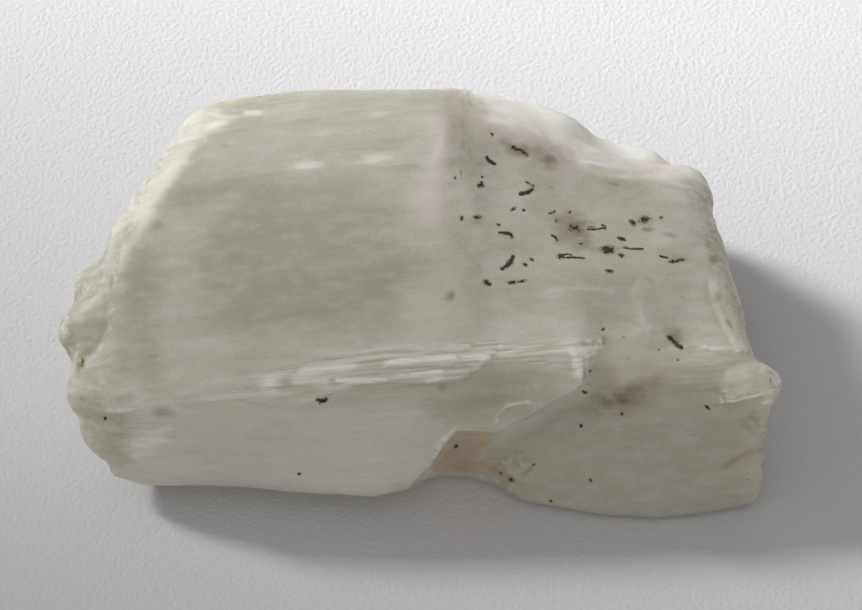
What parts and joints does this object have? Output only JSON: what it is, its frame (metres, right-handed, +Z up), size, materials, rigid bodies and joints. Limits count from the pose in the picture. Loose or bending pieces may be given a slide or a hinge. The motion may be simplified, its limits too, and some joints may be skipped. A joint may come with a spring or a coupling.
{
  "type": "rough kunzite crystal",
  "caption": "Rough cleavage fragment of pale kunzite: striated flat faces, stepped ridges, chipped ends and a flat underside that it lies on.",
  "frame": {"origin": "middle of the bounding box's bottom, on the flat underside", "axes": "+X along the fragment's longest extent, which the striations follow, towards the lower speckled half; +Y towards the high crest at the back; +Z up"},
  "size_m": [0.0316, 0.018, 0.0113],
  "materials": {
    "crystal": "satin"
  },
  "bodies": {
    "root": {"crystal": "crystal"}
  },
  "joints": []
}
